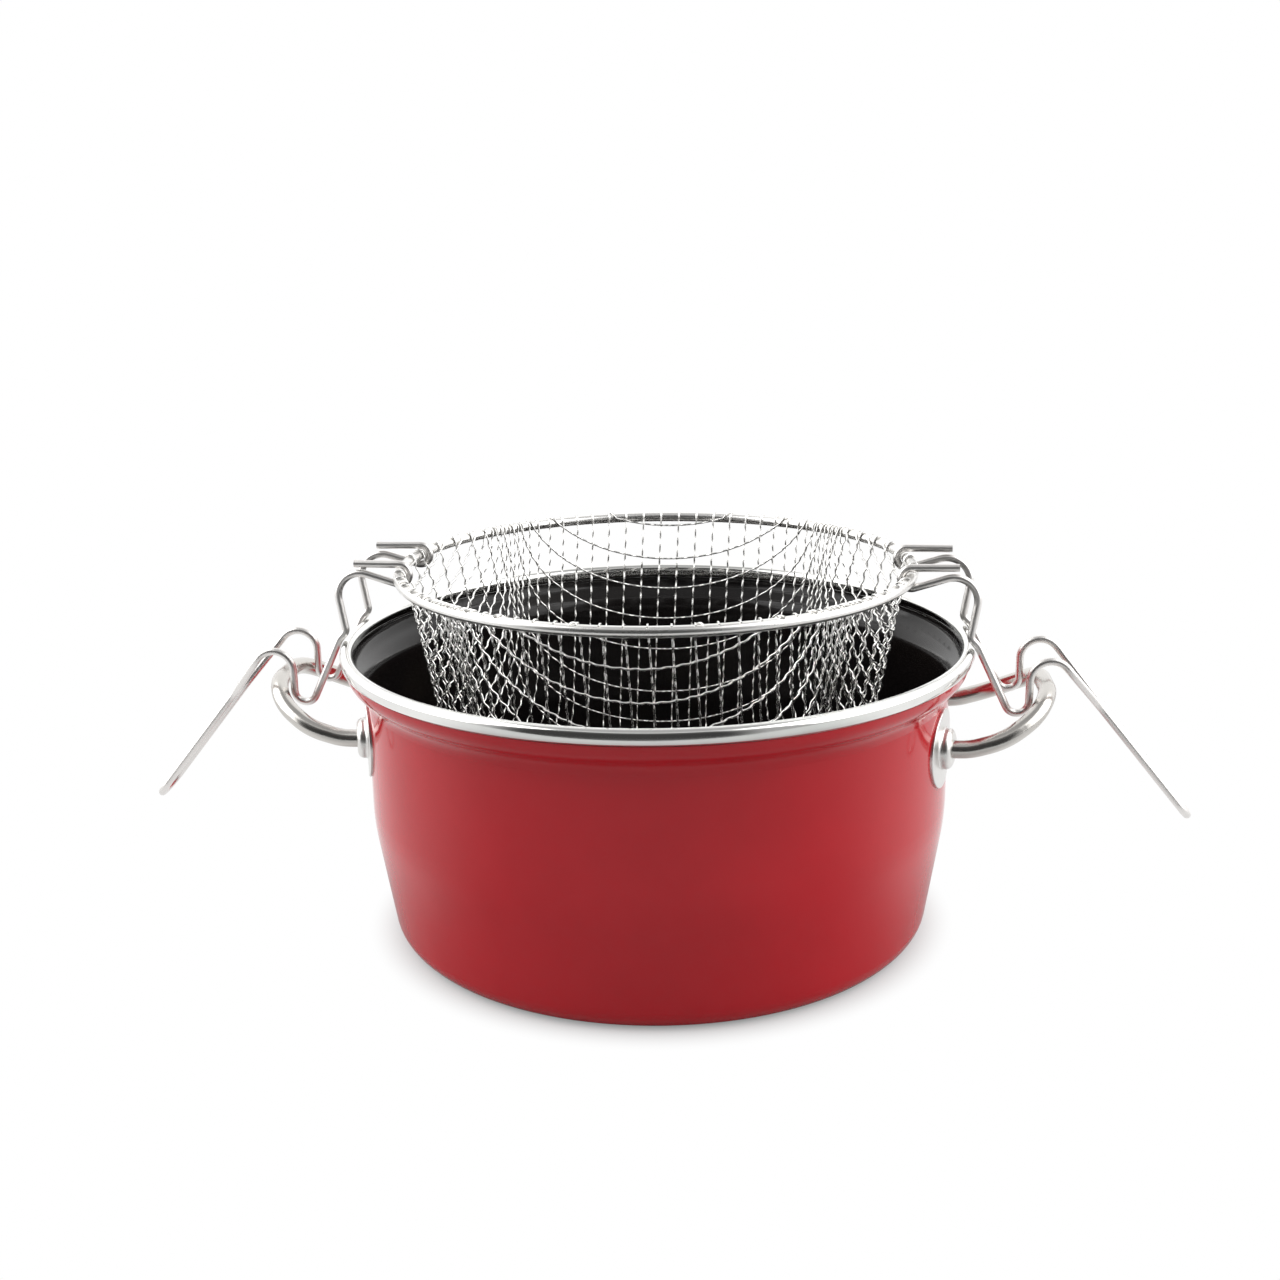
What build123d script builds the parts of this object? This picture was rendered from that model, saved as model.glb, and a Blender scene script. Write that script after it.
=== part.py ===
from build123d import *
from math import acos, asin, atan2, ceil, cos, degrees, pi, radians, sin, sqrt, tan
import os

# Deep fryer pot. A red enamelled steel pot with a rolled steel band round its rim carries two
# welded loop handles. A wire mesh basket hangs inside it: two bent wire handles hook round the
# basket's ring, stand on the pot's rim by their knees and reach out over the loop handles.
# X runs from loop handle to loop handle, Y from front to rear and Z up. The origin is the middle
# of the base, on the surface that the pot stands on. All lengths are millimetres.

# Pot shell, pressed from one steel sheet
pot_height = 120.0
wall_diameter = 232.1
sheet_thickness = 1.0
taper_height = 49.7
taper_angle = 9.1
wall_bend_radius = 80.0
base_corner_radius = 9.5
foot_width = 22.0
recess_slope_width = 4.0
recess_rise = 1.2

# Enamel coats
enamel_thickness = 0.35
bare_foot_height = 2.0
enamel_band_gap = 0.05

# Rim: the flared lip and the band rolled over it
lip_overhang = 7.95
flare_radius = 8.0
band_width = 5.0
band_height = 6.2
band_sheet = 0.6
lip_side_clearance = 0.05
lip_end_clearance = 0.3

# Loop handles and the flanges that hold them on the wall
bar_diameter = 7.0
leg_spacing = 66.0
bar_reach = 37.6
bar_rise_radius = 50.0
bar_corner_radius = 25.0
bar_corner_steps = 3
hub_drop = 36.3
flange_diameter = 31.0
flange_plate = 1.1
flange_edge_radius = 0.5
hub_diameter = 16.0
hub_height = 4.8
hub_shoulder_radius = 2.6
hub_root_radius = 1.6
bar_seat_depth = 3.0
bar_seat_clearance = 0.05
nugget_diameter = 5.0
nugget_circle_radius = 10.0
nuggets_per_flange = 3

# Basket
ring_diameter = 202.8
ring_wire_diameter = 4.2
ring_lift = 27.1
basket_depth = 105.1
basket_taper_angle = 10.4
basket_corner_radius = 20.0
mesh_thickness = 1.6
mesh_gap_pitch = 18.0
mesh_strand_width = 1.2
mesh_hem_height = 3.0
mesh_ring_clearance = 0.15
mesh_wire_diameter = 0.8
mesh_wire_spacing = 8.0
mesh_wire_clearance = 0.05
mesh_end_turn = 115.0
notch_side_clearance = 2.5
notch_depth_clearance = 1.0

# Basket handles, one bent wire each
handle_wire_diameter = 3.0
hook_spacing = 36.0
hook_clearance = 0.4
stub_length = 18.0
plane_turn = 1.8
first_arch_reach = 16.0
first_arch_drop = 9.2
first_arch_radius = 9.4
knee_radius = 3.0
knee_lean = 30.0
knee_straight = 0.4
rim_seat_clearance = 0.45
loop_bend_radius = 4.6
loop_bar_clearance = 0.75
loop_bar_drop = 0.3
second_arch_radius = 8.0
second_arch_rise = 8.3
grip_slope = 51.0
grip_length = 82.5
grip_width = 16.0
converge_start = 2.0
converge_length = 21.0
converge_radius = 14.0

# One overrun serves every cut, and no run of a wire is shorter than the least run
cut_overrun = 5.0
least_run = 0.001
largest_bend_turn = 80.0

# Working values of the mesh's net
net_solver_rounds = 12
least_net_turn = 0.1
gap_cutter_reach = 4.0

# Places worked out from the sizes above
wall_radius = wall_diameter / 2
coat_radius = wall_radius + enamel_thickness
taper = radians(taper_angle)
taper_offset = wall_radius * cos(taper) - taper_height * sin(taper)
base_corner_place = (
    taper_offset - base_corner_radius + base_corner_radius * sin(taper)
) / cos(taper)
foot_inner_radius = base_corner_place - foot_width
recess_radius = foot_inner_radius - recess_slope_width
recess_slope = atan2(recess_rise, recess_slope_width)

band_bottom = pot_height - band_height
lip_outer_radius = wall_radius + lip_overhang
band_radius = lip_outer_radius - sheet_thickness / 2
lip_top = pot_height - band_sheet - lip_end_clearance
flare_turn = acos(1 - lip_overhang / (2 * flare_radius))
flare_bottom = band_bottom - 2 * flare_radius * sin(flare_turn)
enamel_top = band_bottom - enamel_band_gap

bar_radius = bar_diameter / 2
leg_place = leg_spacing / 2
hub_face_radius = coat_radius + hub_height
hub_angle = asin(leg_place / hub_face_radius)
hub_level = pot_height - hub_drop
hub_face_centre = Vector(hub_face_radius * cos(hub_angle), leg_place, hub_level)
bar_place = coat_radius + bar_reach
bar_corner_start = bar_place - bar_corner_radius
bar_corner_side = leg_place - bar_corner_radius

ring_radius = ring_diameter / 2
ring_wire_radius = ring_wire_diameter / 2
ring_level = pot_height + ring_lift
basket_outer_radius = ring_radius - ring_wire_radius - mesh_ring_clearance
basket_bottom = ring_level - basket_depth
mesh_wire_radius = mesh_wire_diameter / 2

mesh_lean = radians(basket_taper_angle)
mesh_lean_offset = basket_outer_radius * cos(mesh_lean) - ring_level * sin(mesh_lean)
mesh_corner_level = basket_bottom + basket_corner_radius
mesh_corner_place = (
    mesh_lean_offset - basket_corner_radius + mesh_corner_level * sin(mesh_lean)
) / cos(mesh_lean)
mesh_middle_depth = mesh_thickness / 2
net_bend_radius = basket_corner_radius - mesh_middle_depth
net_bend_turn = pi / 2 - mesh_lean
net_wall_run = mesh_corner_place + net_bend_radius * net_bend_turn
net_wall_radius = mesh_corner_place + net_bend_radius * cos(mesh_lean)
net_wall_level = mesh_corner_level - net_bend_radius * sin(mesh_lean)
net_top_run = net_wall_run + (ring_level - mesh_hem_height - net_wall_level) / cos(mesh_lean)

handle_wire_radius = handle_wire_diameter / 2
hook_place = hook_spacing / 2
hook_radius = ring_wire_radius + handle_wire_radius + hook_clearance
hook_reach = sqrt(ring_radius**2 - hook_place**2)


def revolved(edges):
    """One closed outline in the XZ plane, turned round the Z axis."""
    return revolve(make_face(Wire(edges).edges()), Axis.Z)


def arc(centre, radius, first_angle, last_angle):
    """Arc in the XZ plane about a centre, by the angles of its ends from the X axis."""
    middle_angle = (first_angle + last_angle) / 2
    points = [
        (centre[0] + radius * cos(angle), 0, centre[1] + radius * sin(angle))
        for angle in (first_angle, middle_angle, last_angle)
    ]
    return ThreePointArc(*points)


def polyline(points):
    """Straight edges through points given as radius and height."""
    places = [Vector(radius, 0, height) for radius, height in points]
    return [Line(start, end) for start, end in zip(places, places[1:])]


def end_of(edge):
    """The radius and height where an edge ends."""
    return ((edge @ 1).X, (edge @ 1).Z)


def start_of(edge):
    """The radius and height where an edge starts."""
    return ((edge @ 0).X, (edge @ 0).Z)


def wall_surface(depth, top, first_angle=-pi / 2):
    """The wall from its base corner up to the lip, some depth below the steel's outer face."""
    corner_radius = base_corner_radius - depth
    corner = arc((base_corner_place, base_corner_radius), corner_radius, first_angle, -taper)
    bend_centre = (wall_radius - wall_bend_radius, taper_height + wall_bend_radius * tan(taper / 2))
    bend = arc(bend_centre, wall_bend_radius - depth, -taper, 0)
    lower_centre = (wall_radius + flare_radius, flare_bottom)
    lower_arc = arc(lower_centre, flare_radius + depth, pi, pi - flare_turn)
    upper_centre = (
        lower_centre[0] - 2 * flare_radius * cos(flare_turn),
        lower_centre[1] + 2 * flare_radius * sin(flare_turn),
    )
    upper_arc = arc(upper_centre, flare_radius - depth, -flare_turn, 0)
    edges = [corner] + polyline([end_of(corner), start_of(bend)])
    edges += [bend] + polyline([end_of(bend), start_of(lower_arc)])
    edges += [lower_arc, upper_arc]
    lip_start = end_of(upper_arc)
    if top - lip_start[1] > least_run:
        edges += polyline([lip_start, (lip_start[0], top)])
    return edges


def floor_points(depth):
    """The base from its middle out to the corner, some depth above the steel's lower face."""
    shift = depth * tan(recess_slope / 2)
    return [
        (0, recess_rise + depth),
        (recess_radius + shift, recess_rise + depth),
        (foot_inner_radius + shift, depth),
        (base_corner_place, depth),
    ]


def cup_layer(outer_depth, inner_depth, top):
    """One layer of the pot between two depths, closed across the base."""
    outer = wall_surface(outer_depth, top)
    inner = wall_surface(inner_depth, top)
    outer_floor = polyline(floor_points(outer_depth))
    inner_floor = polyline(floor_points(inner_depth))
    ends = polyline([end_of(outer[-1]), end_of(inner[-1])])
    middle = polyline([floor_points(outer_depth)[0], floor_points(inner_depth)[0]])
    return revolved(outer_floor + outer + ends + inner + inner_floor + middle)


def wall_coat():
    """The enamel on the outer face of the wall, before the handles are welded on."""
    first_angle = acos(1 - bare_foot_height / base_corner_radius) - pi / 2
    outer = wall_surface(-enamel_thickness, enamel_top, first_angle)
    inner = wall_surface(0, enamel_top, first_angle)
    lower_end = polyline([start_of(outer[0]), start_of(inner[0])])
    upper_end = polyline([end_of(outer[-1]), end_of(inner[-1])])
    return revolved(outer + upper_end + inner + lower_end)


def recess_coat():
    """The dark ground coat in the recess under the base."""
    disc = Cylinder(recess_radius, enamel_thickness, align=(Align.CENTER, Align.CENTER, Align.MAX))
    return Pos(0, 0, recess_rise) * disc


def rolled_band():
    """The hollow band rolled over the lip, open below where the lip enters."""
    outside = SlotOverall(band_height, band_width, rotation=90)
    inside = SlotOverall(band_height - 2 * band_sheet, band_width - 2 * band_sheet, rotation=90)
    slot_width = sheet_thickness + 2 * lip_side_clearance
    slot = Pos(0, -band_height / 2) * Rectangle(slot_width, band_width)
    section = Pos(band_radius, band_bottom + band_height / 2) * (outside - inside - slot)
    return revolve(Plane.XZ * section, Axis.Z)


def flange_place():
    """The frame of a flange on the right rear of the wall, looking out along the hub."""
    outward = Vector(cos(hub_angle), sin(hub_angle), 0)
    return Plane(origin=(0, 0, hub_level), x_dir=(0, 0, 1), z_dir=outward)


def wall_tube(inner_radius, outer_radius):
    """A tube round the Z axis, taller than a flange."""
    height = flange_diameter + 2 * cut_overrun
    tube = Cylinder(outer_radius, height) - Cylinder(inner_radius, height + cut_overrun)
    return Pos(0, 0, hub_level) * tube


def flange_plate_disc():
    """The flange's round plate, formed to the wall and rounded at its outer edge."""
    rod = Cylinder(
        flange_diameter / 2,
        flange_diameter,
        align=(Align.CENTER, Align.CENTER, Align.CENTER),
    )
    outer_radius = coat_radius + flange_plate
    plate = wall_tube(coat_radius, outer_radius) & (flange_place() * Pos(0, 0, coat_radius) * rod)
    outer_edges = [
        edge
        for edge in plate.edges()
        if abs(Vector((edge @ 0).X, (edge @ 0).Y).length - outer_radius) < least_run
    ]
    return fillet(outer_edges, flange_edge_radius)


def flange_hub():
    """The hub that rises from the plate, round at its shoulder and hollow at its root."""
    hub_radius = hub_diameter / 2
    root_level = coat_radius + flange_plate / 2
    root_radius = min(hub_root_radius, hub_face_radius - hub_shoulder_radius - root_level)
    shoulder = (hub_radius - hub_shoulder_radius, hub_face_radius - hub_shoulder_radius)
    root = (hub_radius + root_radius, root_level + root_radius)
    shoulder_arc = arc(shoulder, hub_shoulder_radius, pi / 2, 0)
    root_arc = arc(root, root_radius, pi, 3 * pi / 2)
    foot_level = coat_radius - hub_diameter
    edges = [shoulder_arc, root_arc]
    edges += polyline([(0, foot_level), (0, hub_face_radius), start_of(shoulder_arc)])
    if shoulder[1] - root[1] > least_run:
        edges += polyline([end_of(shoulder_arc), start_of(root_arc)])
    edges += polyline([end_of(root_arc), (root[0], foot_level), (0, foot_level)])
    hub = flange_place() * revolved(edges)
    inside = Cylinder(coat_radius, flange_diameter + 2 * cut_overrun)
    return hub - Pos(0, 0, hub_level) * inside


def bar_rod(radius, length):
    """A rod along the right rear leg of the loop handle, from the bottom of its seat."""
    seat = Plane(origin=hub_face_centre - Vector(bar_seat_depth, 0, 0), z_dir=(1, 0, 0))
    return seat * Cylinder(radius, length, align=(Align.CENTER, Align.CENTER, Align.MIN))


def flange():
    """The right rear flange: plate and hub, with the blind seat for the bar."""
    seat = bar_rod(bar_radius + bar_seat_clearance, bar_seat_depth + hub_diameter)
    return flange_plate_disc() + flange_hub() - seat


def nugget_rods():
    """The rods that stand for the welds under the right rear flange."""
    rod = Cylinder(nugget_diameter / 2, flange_diameter)
    rods = []
    for angle in [360 * index / nuggets_per_flange for index in range(nuggets_per_flange)]:
        spot = Rot(0, 0, angle) * Pos(nugget_circle_radius, 0, coat_radius)
        rods.append(flange_place() * spot * rod)
    return rods


def rounded_path(points, radii):
    """Straight runs between the points, joined at each inner point by a tangent arc."""
    edges = []
    start = points[0]
    for before, corner, after, radius in zip(points, points[1:], points[2:], radii):
        into = (corner - before).normalized()
        onward = (after - corner).normalized()
        half_turn = radians(into.get_angle(onward)) / 2
        setback = radius * tan(half_turn)
        arc_start = corner - into * setback
        arc_end = corner + onward * setback
        sideways = (onward - into).normalized()
        arc_middle = corner + sideways * (radius / cos(half_turn) - radius)
        if (arc_start - start).length > least_run:
            edges.append(Line(start, arc_start))
            start = arc_start
        edges.append(ThreePointArc(start, arc_middle, arc_end))
        start = arc_end
    edges.append(Line(start, points[-1]))
    return Wire(edges)


def wire_along(name, points, radii, wire_radius):
    """A round wire along a rounded path, with its volume checked against its length."""
    path = rounded_path(points, radii)
    section = Plane(origin=points[0], z_dir=points[1] - points[0]) * Circle(wire_radius)
    wire = sweep(section, path=path)
    expected = pi * wire_radius**2 * path.length
    print(f"{name}: {path.length:.1f} mm long, volume {wire.volume / expected:.4f} of its section")
    return wire


def bar_level(place):
    """The level of the bar's middle line, which leaves the hub level and curls upwards."""
    reach = place - hub_face_centre.X
    return hub_level + bar_rise_radius - sqrt(bar_rise_radius**2 - reach**2)


def bar_points():
    """The corner points and radii of the right loop handle, from its rear hub round to its front.

    The leg leaves the hub level. Its first corner starts the upward curl, and the others share
    the turn across the pot.
    """
    straight = bar_corner_start - hub_face_centre.X
    first_turn = asin(straight / bar_rise_radius)
    first_bend = hub_face_centre.X + bar_rise_radius * tan(first_turn / 2)
    rear = [
        hub_face_centre - Vector(bar_seat_depth - bar_seat_clearance, 0, 0),
        Vector(first_bend, leg_place, hub_level),
    ]
    step = pi / 2 / bar_corner_steps
    distance = bar_corner_radius / cos(step / 2)
    for index in range(bar_corner_steps):
        angle = (index + 0.5) * step
        place = bar_corner_start + distance * sin(angle)
        side = bar_corner_side + distance * cos(angle)
        rear.append(Vector(place, side, bar_level(place)))
    front = [Vector(point.X, -point.Y, point.Z) for point in reversed(rear)]
    radii = [bar_rise_radius / 2] + [bar_corner_radius] * bar_corner_steps
    return rear + front, radii + radii[::-1]


def loop_handle():
    """The right loop handle, a round bar bent across and upwards."""
    return wire_along("loop handle", *bar_points(), bar_radius)


def basket_ring():
    """The ring at the top of the basket."""
    return Pos(0, 0, ring_level) * Torus(ring_radius, ring_wire_radius)


def basket_surface(depth):
    """The basket's outline from its middle to its rim, some depth inside its outer face."""
    bottom = basket_bottom + depth
    radius = basket_corner_radius - depth
    corner = arc((mesh_corner_place, mesh_corner_level), radius, -pi / 2, -mesh_lean)
    top = (basket_outer_radius - depth / cos(mesh_lean), ring_level)
    return polyline([(0, bottom), start_of(corner)]) + [corner] + polyline([end_of(corner), top])


def basket_cup():
    """The thin cup that the mesh is cut from."""
    outer = basket_surface(0)
    inner = basket_surface(mesh_thickness)
    rim = polyline([end_of(outer[-1]), end_of(inner[-1])])
    middle = polyline([start_of(outer[0]), start_of(inner[0])])
    return revolved(outer + rim + inner + middle)


def net_slope(run):
    """How steep the mesh is, some way from its middle along its surface."""
    return min(max((run - mesh_corner_place) / net_bend_radius, 0), net_bend_turn)


def net_point(run, angle):
    """A point of the mesh by its way from the middle and its angle round the basket."""
    slope = net_slope(run)
    wall = max(run - net_wall_run, 0)
    radius = min(run, mesh_corner_place) + net_bend_radius * sin(slope) + wall * sin(mesh_lean)
    rise = net_bend_radius * (1 - cos(slope)) + wall * cos(mesh_lean)
    level = basket_bottom + mesh_middle_depth + rise
    return Vector(radius * cos(angle), radius * sin(angle), level)


def net_crossing(beside, below, behind):
    """The crossing one strand's pitch from two others, which lie round a third."""
    anchors = [net_point(*beside), net_point(*below)]
    guess = anchors[0] + anchors[1] - net_point(*behind)
    run = beside[0] + below[0] - behind[0]
    angle = atan2(guess.Y, guess.X)
    for _ in range(net_solver_rounds):
        here = net_point(run, angle)
        slope = net_slope(run)
        along = Vector(cos(slope) * cos(angle), cos(slope) * sin(angle), sin(slope))
        around = Vector(-here.Y, here.X, 0)
        misses = [(here - anchor).length ** 2 - mesh_gap_pitch**2 for anchor in anchors]
        by_run = [2 * (here - anchor).dot(along) for anchor in anchors]
        by_angle = [2 * (here - anchor).dot(around) for anchor in anchors]
        whole = by_run[0] * by_angle[1] - by_run[1] * by_angle[0]
        run -= (misses[0] * by_angle[1] - misses[1] * by_angle[0]) / whole
        angle -= (by_run[0] * misses[1] - by_run[1] * misses[0]) / whole
    return run, angle


def net_quarter():
    """The crossings in one quarter of a square net that is pressed into the cup."""
    count = ceil(net_top_run / mesh_gap_pitch) + 1
    crossings = {(0, 0): (0, 0)}
    for index in range(1, count + 1):
        crossings[index, 0] = (index * mesh_gap_pitch, 0)
        crossings[0, index] = (index * mesh_gap_pitch, pi / 2)
    for total in range(2, 2 * count + 1):
        for column in range(max(1, total - count), min(total - 1, count) + 1):
            row = total - column
            behind = crossings.get((column - 1, row - 1))
            if behind is None or behind[0] > net_top_run:
                continue
            flat_run = mesh_gap_pitch * sqrt(column**2 + row**2)
            if flat_run <= mesh_corner_place:
                crossings[column, row] = (flat_run, atan2(row, column))
            else:
                beside = crossings[column - 1, row]
                below = crossings[column, row - 1]
                crossings[column, row] = net_crossing(beside, below, behind)
    return crossings


def below_hem(corners):
    """The part of a gap of the net that lies below the hem at the cup's rim."""
    kept = []
    for start, end in zip(corners, corners[1:] + corners[:1]):
        if start[0] <= net_top_run:
            kept.append(start)
        if (start[0] <= net_top_run) != (end[0] <= net_top_run):
            share = (net_top_run - start[0]) / (end[0] - start[0])
            kept.append((net_top_run, start[1] + share * (end[1] - start[1])))
    return kept


def inset(outline, width):
    """A convex outline moved inwards by a width, or nothing where the width takes all of it."""
    moved = []
    count = len(outline)
    for index in range(count):
        before, here, after = (outline[(index + step) % count] for step in (-1, 0, 1))
        first = (here - before).normalized()
        second = (after - here).normalized()
        turn = first.X * second.Y - first.Y * second.X
        if turn < least_net_turn:
            return []
        moved.append(here + (second - first) * (width / turn))
    for index in range(count):
        old_edge = outline[index] - outline[index - 1]
        new_edge = moved[index] - moved[index - 1]
        if new_edge.dot(old_edge) < least_run:
            return []
    return moved


def gap_cutter(corners):
    """What takes one gap out of the cup, or nothing where the strands close it."""
    places = [net_point(*corner) for corner in corners]
    centre = sum(places, Vector()) * (1 / len(places))
    slope = net_slope(sum(corner[0] for corner in corners) / len(corners))
    angle = atan2(centre.Y, centre.X)
    out = Vector(sin(slope) * cos(angle), sin(slope) * sin(angle), -cos(slope))
    plane = Plane(origin=centre, x_dir=Vector(-sin(angle), cos(angle), 0), z_dir=out)
    outline = [plane.to_local_coords(place) for place in places]
    outline = [Vector(point.X, point.Y, 0) for point in outline]
    if (outline[1] - outline[0]).cross(outline[2] - outline[1]).Z < 0:
        outline.reverse()
    outline = inset(outline, mesh_strand_width / 2)
    if not outline:
        return None
    face = plane * make_face(Polyline(*outline, close=True))
    return extrude(face, amount=gap_cutter_reach, dir=out, both=True)


def gap_cutters():
    """Everything that one quarter of the net leaves open."""
    crossings = net_quarter()
    cutters = []
    for column, row in crossings:
        names = [(column, row), (column + 1, row), (column + 1, row + 1), (column, row + 1)]
        if crossings[column, row][0] < net_top_run and all(name in crossings for name in names):
            corners = below_hem([crossings[name] for name in names])
            cutters.append(gap_cutter(corners))
    return [cutter for cutter in cutters if cutter is not None]


def basket_mesh():
    """The mesh as an open net of flat strands, with a notch at its rim for each hook."""
    mesh = basket_cup()
    notch_width = handle_wire_diameter + 2 * notch_side_clearance
    notch_depth = hook_radius + handle_wire_radius + notch_depth_clearance
    notch = Box(2 * hook_radius + 2 * cut_overrun, notch_width, 2 * notch_depth)
    for side in (-1, 1):
        for place in (-hook_place, hook_place):
            mesh -= Pos(side * hook_reach, place, ring_level) * notch
    cutters = gap_cutters()
    cutters += [to_left(cutter) for cutter in cutters]
    cutters += [to_front(cutter) for cutter in cutters]
    return mesh - cutters


def mesh_end_angles():
    """The angles round the ring where a wire of the mesh ends, clear of the handles' hooks."""
    count = 4 * round(pi * ring_radius / 2 / mesh_wire_spacing)
    keep_out = handle_wire_radius + notch_side_clearance + mesh_wire_radius
    angles = []
    for index in range(count):
        angle = 2 * pi * index / count
        beside_hook = abs(ring_radius * abs(sin(angle)) - hook_place) < keep_out
        if not (beside_hook and abs(cos(angle)) > sin(pi / 4)):
            angles.append(degrees(angle))
    return angles


def mesh_wire_ends():
    """The ends of the mesh's upright wires, curled over the ring from inside."""
    curl_radius = ring_wire_radius + mesh_wire_radius + mesh_wire_clearance
    section = Pos(ring_radius - curl_radius, 0, ring_level) * Circle(mesh_wire_radius)
    curl_axis = Axis((ring_radius, 0, ring_level), (0, 1, 0))
    curl = revolve(section, curl_axis, mesh_end_turn)
    return Compound(children=[Rot(0, 0, angle) * curl for angle in mesh_end_angles()])


def heading_between(first, second):
    """The direction of the straight run from one bend to the next."""
    reach = second[0] - first[0]
    rise = second[1] - first[1]
    return atan2(rise, reach) - asin((second[2] - first[2]) / sqrt(reach**2 + rise**2))


def bend_corners(bends, first_heading, last_heading):
    """The corner points and radii of a wire led round a row of bends.

    A bend is its centre's reach from the hook, its centre's level and its radius, which is
    negative where the wire turns to the right. A long bend is shared among several corners.
    """
    headings = [first_heading]
    headings += [heading_between(first, second) for first, second in zip(bends, bends[1:])]
    headings.append(last_heading)
    corners = []
    for (reach, level, radius), into, onward in zip(bends, headings, headings[1:]):
        turn = (onward - into) % (2 * pi)
        if radius < 0:
            turn -= 2 * pi
        count = ceil(abs(turn) / radians(largest_bend_turn))
        for index in range(count):
            heading = into + turn * (index + 0.5) / count
            distance = radius / cos(turn / count / 2)
            place = (reach + distance * sin(heading), level - distance * cos(heading))
            corners.append((place, abs(radius)))
    return corners


def handle_bends():
    """The bends of a basket handle, in the upright plane of one of its legs."""
    hook = (0, ring_level, hook_radius)
    first_arch = (first_arch_reach, ring_level - first_arch_drop, -first_arch_radius)
    seat_radius = band_width / 2 + handle_wire_radius + rim_seat_clearance
    rim_reach = sqrt(band_radius**2 - hook_place**2) - hook_reach
    seat = (rim_reach, pot_height - band_width / 2, -seat_radius)
    knee_distance = seat_radius + knee_radius + knee_straight
    lean = radians(knee_lean)
    knee = (
        seat[0] + knee_distance * sin(lean),
        seat[1] + knee_distance * cos(lean),
        knee_radius,
    )
    corner_shift = max(hook_place - bar_corner_side, 0)
    bar_beside = bar_corner_start + sqrt(bar_corner_radius**2 - corner_shift**2)
    upright_reach = (
        bar_beside - hook_reach - bar_radius - loop_bar_clearance - handle_wire_radius
    )
    loop = (
        upright_reach - loop_bend_radius,
        bar_level(bar_beside) - loop_bar_drop,
        loop_bend_radius,
    )
    second_arch = (
        upright_reach + second_arch_radius,
        loop[1] + second_arch_rise,
        -second_arch_radius,
    )
    return [hook, first_arch, knee, seat, loop, second_arch]


def leg_point(reach, level):
    """A point in the upright plane of the rear leg, by its reach from the hook."""
    turn = radians(plane_turn)
    return Vector(hook_reach + reach * cos(turn), hook_place - reach * sin(turn), level)


def basket_handle_points():
    """The corner points and radii of the right basket handle, from stub to stub."""
    bends = handle_bends()
    slope = -radians(grip_slope)
    corners = bend_corners(bends, pi, slope)
    last_reach, last_level, last_radius = bends[-1]
    grip_start = (last_reach + last_radius * sin(slope), last_level - last_radius * cos(slope))
    points = [leg_point(stub_length, ring_level + hook_radius)]
    points += [leg_point(*place) for place, _ in corners]
    radii = [radius for _, radius in corners]

    def along_grip(distance):
        return leg_point(
            grip_start[0] + distance * cos(slope),
            grip_start[1] + distance * sin(slope),
        )

    def grip_side(distance):
        point = along_grip(distance)
        return Vector(point.X, grip_width / 2, point.Z)

    points += [along_grip(converge_start), grip_side(converge_start + converge_length)]
    points.append(grip_side(grip_length))
    radii += [converge_radius] * 2 + [grip_width / 2]
    front = [Vector(point.X, -point.Y, point.Z) for point in reversed(points)]
    return points + front, radii + radii[::-1]


def basket_handle():
    """The right basket handle: two bent legs that meet in a narrow grip."""
    return wire_along("basket handle", *basket_handle_points(), handle_wire_radius)


def to_left(shape):
    """The same piece on the left."""
    return mirror(shape, Plane.YZ)


def to_front(shape):
    """The same piece at the front."""
    return mirror(shape, Plane.XZ)


def write(name, shape):
    """Write one piece under its name."""
    export_step(shape, f"parts/{name}.step")


def main():
    """Build every piece and write it."""
    os.makedirs("parts", exist_ok=True)
    coat = wall_coat()
    rear_rods = nugget_rods()
    right_rods = rear_rods + [to_front(rod) for rod in rear_rods]
    left_rods = [to_left(rod) for rod in right_rods]
    right_nuggets = [coat & rod for rod in right_rods]
    left_nuggets = [coat & rod for rod in left_rods]
    for rod in right_rods + left_rods:
        coat -= rod
    rear_flange = flange()
    right_loop = loop_handle()
    right_handle = basket_handle()

    write("pot_shell", cup_layer(0, sheet_thickness, lip_top))
    write("outer_enamel", coat)
    write("inner_enamel", cup_layer(sheet_thickness, sheet_thickness + enamel_thickness, enamel_top))
    write("base_enamel", recess_coat())
    write("rim_band", rolled_band())
    write("right_rear_flange", rear_flange)
    write("right_front_flange", to_front(rear_flange))
    write("left_rear_flange", to_left(rear_flange))
    write("left_front_flange", to_left(to_front(rear_flange)))
    write("right_flange_welds", Compound(children=right_nuggets))
    write("left_flange_welds", Compound(children=left_nuggets))
    write("right_loop_handle", right_loop)
    write("left_loop_handle", to_left(right_loop))
    write("basket_ring", basket_ring())
    write("basket_mesh", basket_mesh())
    write("mesh_wire_ends", mesh_wire_ends())
    write("right_basket_handle", right_handle)
    write("left_basket_handle", to_left(right_handle))


main()
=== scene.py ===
"""Looks of the deep fryer pot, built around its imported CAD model.

A red enamelled pot with a rolled steel rim and two loop handles, and a woven wire basket that
stands on the rim by two bent wire handles.
"""

import logging
import math
from dataclasses import dataclass, field
from enum import Enum
from typing import Any, Sequence

import bpy
import numpy as np
from mathutils import Matrix, Vector


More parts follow.
